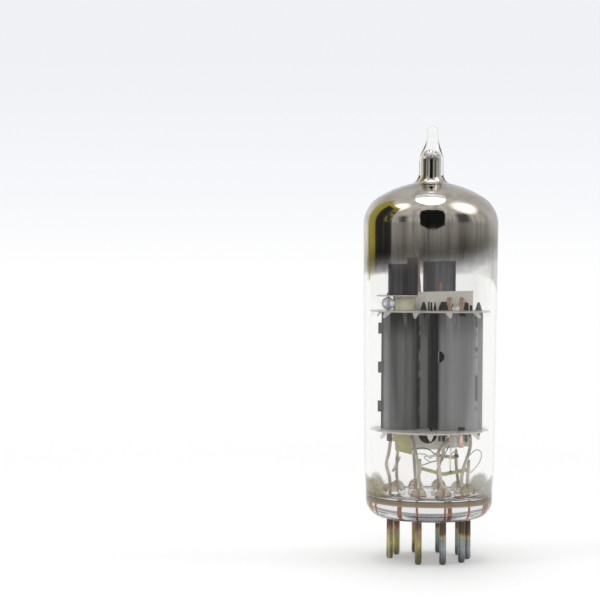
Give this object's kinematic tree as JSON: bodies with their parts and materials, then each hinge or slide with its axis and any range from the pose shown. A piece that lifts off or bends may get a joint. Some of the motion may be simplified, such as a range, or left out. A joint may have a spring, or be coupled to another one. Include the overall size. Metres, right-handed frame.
{
  "type": "vacuum tube",
  "caption": "Miniature glass vacuum tube with a triode and a pentode between mica discs, a silver getter crown, a sealed tip and a pressed glass base with thin pins.",
  "frame": {"origin": "on the tube's axis, in the plane of the pin tips", "axes": "+Z along the axis towards the sealed tip, -Y towards the front, +X to the right of the front"},
  "size_m": [0.0206, 0.0206, 0.0664],
  "materials": {
    "bulb_glass": "clear blown glass",
    "stem_glass": "clear pressed glass",
    "bead_glass": "milky glass",
    "getter_mirror": "silver film with a smoky edge",
    "dumet_copper": "oxidised copper",
    "pin_nickel": "oxidised nickel",
    "lead_nickel": "drawn nickel wire",
    "mica": "pale translucent mica",
    "triode_plate": "carbonised metal",
    "pentode_plate": "carbonised metal",
    "dark_screen": "carbonised metal",
    "bright_nickel": "satin nickel",
    "aged_nickel": "yellowed nickel",
    "carbon_fin": "black carbon",
    "copper_rod": "bare copper",
    "nickel_rod": "drawn nickel",
    "grid_wire": "fine drawn wire",
    "cathode_sleeve": "nickel with a white oxide coat",
    "heater_coating": "white alumina coat"
  },
  "bodies": {
    "root": {"bead_pin": "bright_nickel", "bottom_mica": "mica", "bottom_shield": "bright_nickel", "bulb": "bulb_glass", "button_stem": "stem_glass", "cathode_flag": "aged_nickel", "cathode_link": "bright_nickel", "collar": "bright_nickel", "control_grid_rods": "copper_rod", "control_grid_winding": "grid_wire", "dumet_seals": "dumet_copper", "getter_flash": "getter_mirror", "getter_ring": "bright_nickel", "glass_bead": "bead_glass", "heater_loop": "lead_nickel", "heater_strap_lower": "aged_nickel", "heater_strap_upper": "aged_nickel", "heater_stub": "lead_nickel", "lead_1": "lead_nickel", "lead_2": "lead_nickel", "lead_3": "lead_nickel", "lead_4": "lead_nickel", "lead_5": "lead_nickel", "lead_6": "lead_nickel", "lead_7": "lead_nickel", "lead_8": "lead_nickel", "lead_9": "lead_nickel", "lead_spur": "lead_nickel", "pentode_cathode": "cathode_sleeve", "pentode_heater": "heater_coating", "pentode_plate_front": "pentode_plate", "pentode_plate_rear": "pentode_plate", "pin_1": "pin_nickel", "pin_2": "pin_nickel", "pin_3": "pin_nickel", "pin_4": "pin_nickel", "pin_5": "pin_nickel", "pin_6": "pin_nickel", "pin_7": "pin_nickel", "pin_8": "pin_nickel", "pin_9": "pin_nickel", "radiator_left": "carbon_fin", "radiator_mica": "mica", "radiator_posts": "copper_rod", "radiator_right": "carbon_fin", "screen_grid_rods": "nickel_rod", "screen_grid_winding": "grid_wire", "section_shield": "dark_screen", "suppressor_grid_rods": "nickel_rod", "suppressor_grid_winding": "grid_wire", "top_mica": "mica", "top_shield": "bright_nickel", "triode_cathode": "cathode_sleeve", "triode_grid_rods": "copper_rod", "triode_grid_winding": "grid_wire", "triode_heater": "heater_coating", "triode_plate_front": "triode_plate", "triode_plate_rear": "triode_plate"}
  },
  "joints": []
}
